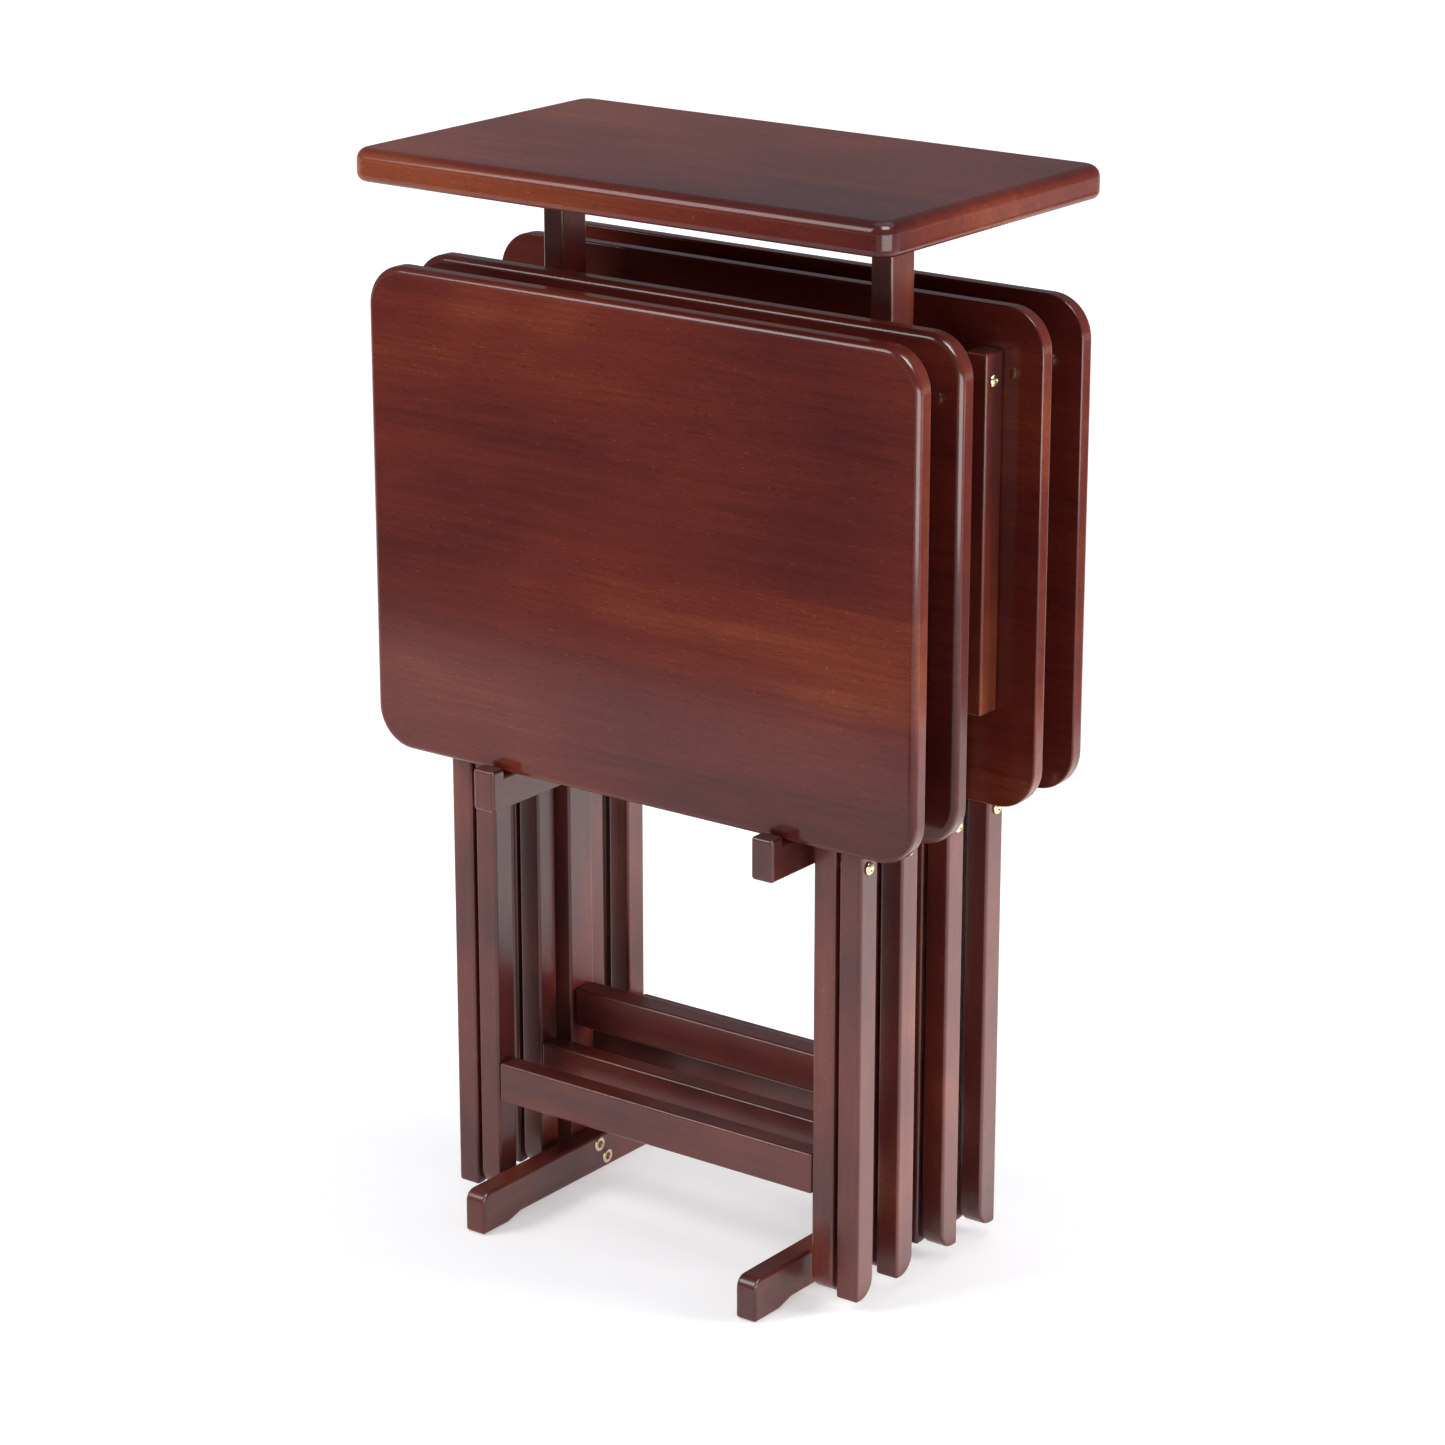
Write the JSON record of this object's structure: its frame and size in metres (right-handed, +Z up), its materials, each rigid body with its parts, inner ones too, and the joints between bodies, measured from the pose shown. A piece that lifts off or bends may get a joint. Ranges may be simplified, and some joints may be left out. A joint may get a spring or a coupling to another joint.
{
  "type": "folding tray table set",
  "caption": "Folding tray tables with scissor legs, folded flat and hung on a wooden storage stand with a flat top and hook-ended arms.",
  "frame": {"origin": "on the floor, under the middle of the stand", "axes": "+X along the trays' width, -Y towards the outermost front tray, +Z up"},
  "size_m": [0.483, 0.2894, 0.8098],
  "materials": {
    "tray_wood": "dark mahogany stain under a satin lacquer",
    "frame_wood": "dark mahogany stain under a satin lacquer",
    "brass": "satin brass"
  },
  "bodies": {
    "stand": {"stand_top": "tray_wood", "post_left": "frame_wood", "post_right": "frame_wood", "foot_left": "frame_wood", "foot_right": "frame_wood", "arm_left": "frame_wood", "arm_right": "frame_wood", "lower_rail": "frame_wood"},
    "t1_pivots": {"t1_pivot_bolt_left": "brass", "t1_pivot_bolt_right": "brass"},
    "t1_outer_legs": {"t1_outer_leg_left": "frame_wood", "t1_outer_leg_right": "frame_wood", "t1_hinge_screw_left": "brass", "t1_hinge_screw_right": "brass"},
    "t1_tray": {"t1_top": "tray_wood", "t1_cleat_left": "frame_wood", "t1_cleat_right": "frame_wood"},
    "t1_upper_rail": {"t1_upper_rail": "frame_wood"},
    "t1_inner_legs": {"t1_inner_leg_left": "frame_wood", "t1_inner_leg_right": "frame_wood", "t1_stretcher": "frame_wood"},
    "t2_pivots": {"t2_pivot_bolt_left": "brass", "t2_pivot_bolt_right": "brass"},
    "t2_outer_legs": {"t2_outer_leg_left": "frame_wood", "t2_outer_leg_right": "frame_wood", "t2_hinge_screw_left": "brass", "t2_hinge_screw_right": "brass"},
    "t2_tray": {"t2_top": "tray_wood", "t2_cleat_left": "frame_wood", "t2_cleat_right": "frame_wood"},
    "t2_upper_rail": {"t2_upper_rail": "frame_wood"},
    "t2_inner_legs": {"t2_inner_leg_left": "frame_wood", "t2_inner_leg_right": "frame_wood", "t2_stretcher": "frame_wood"},
    "t3_pivots": {"t3_pivot_bolt_left": "brass", "t3_pivot_bolt_right": "brass"},
    "t3_outer_legs": {"t3_outer_leg_left": "frame_wood", "t3_outer_leg_right": "frame_wood", "t3_hinge_screw_left": "brass", "t3_hinge_screw_right": "brass"},
    "t3_tray": {"t3_top": "tray_wood", "t3_cleat_left": "frame_wood", "t3_cleat_right": "frame_wood"},
    "t3_upper_rail": {"t3_upper_rail": "frame_wood"},
    "t3_inner_legs": {"t3_inner_leg_left": "frame_wood", "t3_inner_leg_right": "frame_wood", "t3_stretcher": "frame_wood"},
    "t4_pivots": {"t4_pivot_bolt_left": "brass", "t4_pivot_bolt_right": "brass"},
    "t4_outer_legs": {"t4_outer_leg_left": "frame_wood", "t4_outer_leg_right": "frame_wood", "t4_hinge_screw_left": "brass", "t4_hinge_screw_right": "brass"},
    "t4_tray": {"t4_top": "tray_wood", "t4_cleat_left": "frame_wood", "t4_cleat_right": "frame_wood"},
    "t4_upper_rail": {"t4_upper_rail": "frame_wood"},
    "t4_inner_legs": {"t4_inner_leg_left": "frame_wood", "t4_inner_leg_right": "frame_wood", "t4_stretcher": "frame_wood"}
  },
  "joints": [
    {"name": "t1_lift_off", "type": "hinge", "parent": "stand", "child": "t1_pivots", "pos_m": [0, -0.54413, -0.07307], "axis": [1, 0, 0], "range_deg": [0, 100]},
    {"name": "t1_outer_leg_lean", "type": "hinge", "parent": "t1_pivots", "child": "t1_outer_legs", "pos_m": [0, -0.0813, 0.34], "axis": [-1, 0, 0], "range_deg": [0, 120.01]},
    {"name": "t1_tray_hinge", "type": "hinge", "parent": "t1_outer_legs", "child": "t1_tray", "pos_m": [0, -0.0813, 0.671], "axis": [-1, 0, 0], "range_deg": [0, 70.01]},
    {"name": "t1_rail_slide", "type": "slide", "parent": "t1_tray", "child": "t1_upper_rail", "axis": [0, 0, -1], "range_m": [0, 0.2265]},
    {"name": "t1_inner_leg_spread", "type": "hinge", "parent": "t1_upper_rail", "child": "t1_inner_legs", "pos_m": [0, -0.0813, 0.671], "axis": [1, 0, 0], "range_deg": [0, 110.01]},
    {"name": "t2_lift_off", "type": "hinge", "parent": "stand", "child": "t2_pivots", "pos_m": [0, -0.17312, 0.13482], "axis": [1, 0, 0], "range_deg": [0, 80.01]},
    {"name": "t2_outer_leg_lean", "type": "hinge", "parent": "t2_pivots", "child": "t2_outer_legs", "pos_m": [0, -0.0304, 0.34], "axis": [-1, 0, 0], "range_deg": [0, 100.01]},
    {"name": "t2_tray_hinge", "type": "hinge", "parent": "t2_outer_legs", "child": "t2_tray", "pos_m": [0, -0.0304, 0.671], "axis": [-1, 0, 0], "range_deg": [0, 70.01]},
    {"name": "t2_rail_slide", "type": "slide", "parent": "t2_tray", "child": "t2_upper_rail", "axis": [0, 0, -1], "range_m": [0, 0.2265]},
    {"name": "t2_inner_leg_spread", "type": "hinge", "parent": "t2_upper_rail", "child": "t2_inner_legs", "pos_m": [0, -0.0304, 0.671], "axis": [1, 0, 0], "range_deg": [0, 110.01]},
    {"name": "t3_lift_off", "type": "hinge", "parent": "stand", "child": "t3_pivots", "pos_m": [0, 0.17312, 0.13482], "axis": [-1, 0, 0], "range_deg": [0, 80.01]},
    {"name": "t3_outer_leg_lean", "type": "hinge", "parent": "t3_pivots", "child": "t3_outer_legs", "pos_m": [0, 0.0304, 0.34], "axis": [1, 0, 0], "range_deg": [0, 100.01]},
    {"name": "t3_tray_hinge", "type": "hinge", "parent": "t3_outer_legs", "child": "t3_tray", "pos_m": [0, 0.0304, 0.671], "axis": [1, 0, 0], "range_deg": [0, 70.01]},
    {"name": "t3_rail_slide", "type": "slide", "parent": "t3_tray", "child": "t3_upper_rail", "axis": [0, 0, -1], "range_m": [0, 0.2265]},
    {"name": "t3_inner_leg_spread", "type": "hinge", "parent": "t3_upper_rail", "child": "t3_inner_legs", "pos_m": [0, 0.0304, 0.671], "axis": [-1, 0, 0], "range_deg": [0, 110.01]},
    {"name": "t4_lift_off", "type": "hinge", "parent": "stand", "child": "t4_pivots", "pos_m": [0, 0.54413, -0.07307], "axis": [-1, 0, 0], "range_deg": [0, 100]},
    {"name": "t4_outer_leg_lean", "type": "hinge", "parent": "t4_pivots", "child": "t4_outer_legs", "pos_m": [0, 0.0813, 0.34], "axis": [1, 0, 0], "range_deg": [0, 120.01]},
    {"name": "t4_tray_hinge", "type": "hinge", "parent": "t4_outer_legs", "child": "t4_tray", "pos_m": [0, 0.0813, 0.671], "axis": [1, 0, 0], "range_deg": [0, 70.01]},
    {"name": "t4_rail_slide", "type": "slide", "parent": "t4_tray", "child": "t4_upper_rail", "axis": [0, 0, -1], "range_m": [0, 0.2265]},
    {"name": "t4_inner_leg_spread", "type": "hinge", "parent": "t4_upper_rail", "child": "t4_inner_legs", "pos_m": [0, 0.0813, 0.671], "axis": [-1, 0, 0], "range_deg": [0, 110.01]}
  ],
  "couplings": [
    {"joint": "t1_outer_leg_lean", "follows": "t1_lift_off", "ratio": 1.2},
    {"joint": "t1_tray_hinge", "follows": "t1_lift_off", "ratio": 0.7},
    {"joint": "t1_rail_slide", "follows": "t1_lift_off", "m_per_rad": 0.12972},
    {"joint": "t1_inner_leg_spread", "follows": "t1_lift_off", "ratio": 1.1},
    {"joint": "t2_lift_off", "follows": "t1_lift_off", "ratio": 0.8},
    {"joint": "t2_outer_leg_lean", "follows": "t1_lift_off", "ratio": 1},
    {"joint": "t2_tray_hinge", "follows": "t1_lift_off", "ratio": 0.7},
    {"joint": "t2_rail_slide", "follows": "t1_lift_off", "m_per_rad": 0.12972},
    {"joint": "t2_inner_leg_spread", "follows": "t1_lift_off", "ratio": 1.1},
    {"joint": "t3_lift_off", "follows": "t4_lift_off", "ratio": 0.8},
    {"joint": "t3_outer_leg_lean", "follows": "t4_lift_off", "ratio": 1},
    {"joint": "t3_tray_hinge", "follows": "t4_lift_off", "ratio": 0.7},
    {"joint": "t3_rail_slide", "follows": "t4_lift_off", "m_per_rad": 0.12972},
    {"joint": "t3_inner_leg_spread", "follows": "t4_lift_off", "ratio": 1.1},
    {"joint": "t4_outer_leg_lean", "follows": "t4_lift_off", "ratio": 1.2},
    {"joint": "t4_tray_hinge", "follows": "t4_lift_off", "ratio": 0.7},
    {"joint": "t4_rail_slide", "follows": "t4_lift_off", "m_per_rad": 0.12972},
    {"joint": "t4_inner_leg_spread", "follows": "t4_lift_off", "ratio": 1.1}
  ]
}
